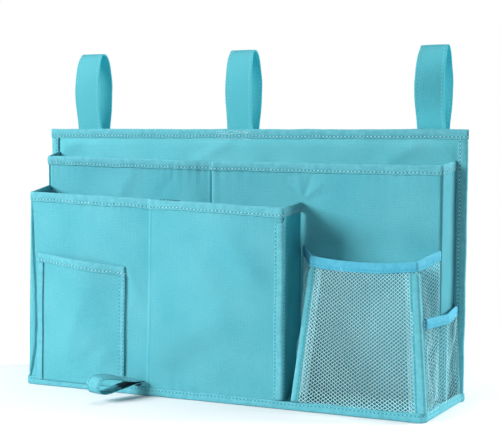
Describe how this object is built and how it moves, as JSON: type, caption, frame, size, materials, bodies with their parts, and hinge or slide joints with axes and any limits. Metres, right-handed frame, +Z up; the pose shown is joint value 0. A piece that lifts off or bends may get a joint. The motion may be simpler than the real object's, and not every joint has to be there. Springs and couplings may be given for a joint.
{
  "type": "bedside caddy",
  "caption": "Free-standing cloth bedside caddy in turquoise: stiff back and base, tiers of bound pockets, net pockets, a patch pocket, a key loop and hanging straps.",
  "frame": {"origin": "centre of the base's underside, on the surface that the caddy stands on", "axes": "+X to the viewer's right along the back panel, -Y towards the pockets' front, +Z up"},
  "size_m": [0.5, 0.1862, 0.3798],
  "materials": {
    "oxford_cloth": "matte plain weave",
    "seam_tape": "matte ribbed tape",
    "rim_tape": "matte elastic tape",
    "net": "knitted net",
    "strap_cloth": "matte plain weave",
    "stiffener": "plain board",
    "hook_and_loop": "pile tape"
  },
  "bodies": {
    "caddy": {"back_rear_cloth": "oxford_cloth", "back_stiffener_board": "stiffener", "back_front_cloth": "oxford_cloth", "top_binding": "seam_tape", "back_left_binding": "seam_tape", "back_right_binding": "seam_tape", "base_under_cloth": "oxford_cloth", "base_stiffener_board": "stiffener", "base_upper_cloth": "oxford_cloth", "base_binding": "seam_tape", "mid_left_gusset": "oxford_cloth", "mid_left_wall": "oxford_cloth", "mid_right_wall": "oxford_cloth", "mid_right_gusset": "oxford_cloth", "mid_divider": "oxford_cloth", "mid_left_rim_tape": "seam_tape", "mid_right_rim_tape": "seam_tape", "front_left_gusset": "oxford_cloth", "front_wall": "oxford_cloth", "front_right_gusset": "oxford_cloth", "front_divider": "oxford_cloth", "front_rim_tape": "seam_tape", "front_right_corner_tape": "seam_tape", "patch_wall": "oxford_cloth", "patch_rim_tape": "seam_tape", "patch_left_tape": "seam_tape", "patch_right_tape": "seam_tape", "net_front": "net", "net_left": "net", "net_right": "net", "net_rim_tape": "rim_tape", "net_left_corner_tape": "seam_tape", "net_right_corner_tape": "seam_tape", "side_net_front": "net", "side_net_back": "net", "side_rim_tape": "rim_tape", "left_strap_sewn_end": "strap_cloth", "left_loop_patch": "hook_and_loop", "middle_strap_sewn_end": "strap_cloth", "middle_loop_patch": "hook_and_loop", "right_strap_sewn_end": "strap_cloth", "right_loop_patch": "hook_and_loop"},
    "left_strap_front": {"left_strap_front": "strap_cloth"},
    "left_strap_rear": {"left_strap_rear": "strap_cloth", "left_hook_patch": "hook_and_loop"},
    "middle_strap_front": {"middle_strap_front": "strap_cloth"},
    "middle_strap_rear": {"middle_strap_rear": "strap_cloth", "middle_hook_patch": "hook_and_loop"},
    "right_strap_front": {"right_strap_front": "strap_cloth"},
    "right_strap_rear": {"right_strap_rear": "strap_cloth", "right_hook_patch": "hook_and_loop"},
    "key_loop": {"key_loop": "seam_tape"}
  },
  "joints": [
    {"name": "left_strap_front_hinge", "type": "hinge", "parent": "caddy", "child": "left_strap_front", "pos_m": [-0.2005, 0.0507, 0.2907], "axis": [1, 0, 0], "range_deg": [0, 90]},
    {"name": "left_strap_crown_hinge", "type": "hinge", "parent": "left_strap_front", "child": "left_strap_rear", "pos_m": [-0.2005, 0.0621, 0.3799], "axis": [1, 0, 0], "range_deg": [0, 150]},
    {"name": "middle_strap_front_hinge", "type": "hinge", "parent": "caddy", "child": "middle_strap_front", "pos_m": [-0.0075, 0.0507, 0.2907], "axis": [1, 0, 0], "range_deg": [0, 90]},
    {"name": "middle_strap_crown_hinge", "type": "hinge", "parent": "middle_strap_front", "child": "middle_strap_rear", "pos_m": [-0.0075, 0.0621, 0.3799], "axis": [1, 0, 0], "range_deg": [0, 150]},
    {"name": "right_strap_front_hinge", "type": "hinge", "parent": "caddy", "child": "right_strap_front", "pos_m": [0.2105, 0.0507, 0.2907], "axis": [1, 0, 0], "range_deg": [0, 90]},
    {"name": "right_strap_crown_hinge", "type": "hinge", "parent": "right_strap_front", "child": "right_strap_rear", "pos_m": [0.2105, 0.0621, 0.3799], "axis": [1, 0, 0], "range_deg": [0, 150]},
    {"name": "key_loop_hinge", "type": "hinge", "parent": "caddy", "child": "key_loop", "pos_m": [-0.083, -0.0504, 0.0124], "axis": [-1, 0, 0], "range_deg": [-8, 60], "stiffness_Nm_per_rad": 0.03}
  ]
}
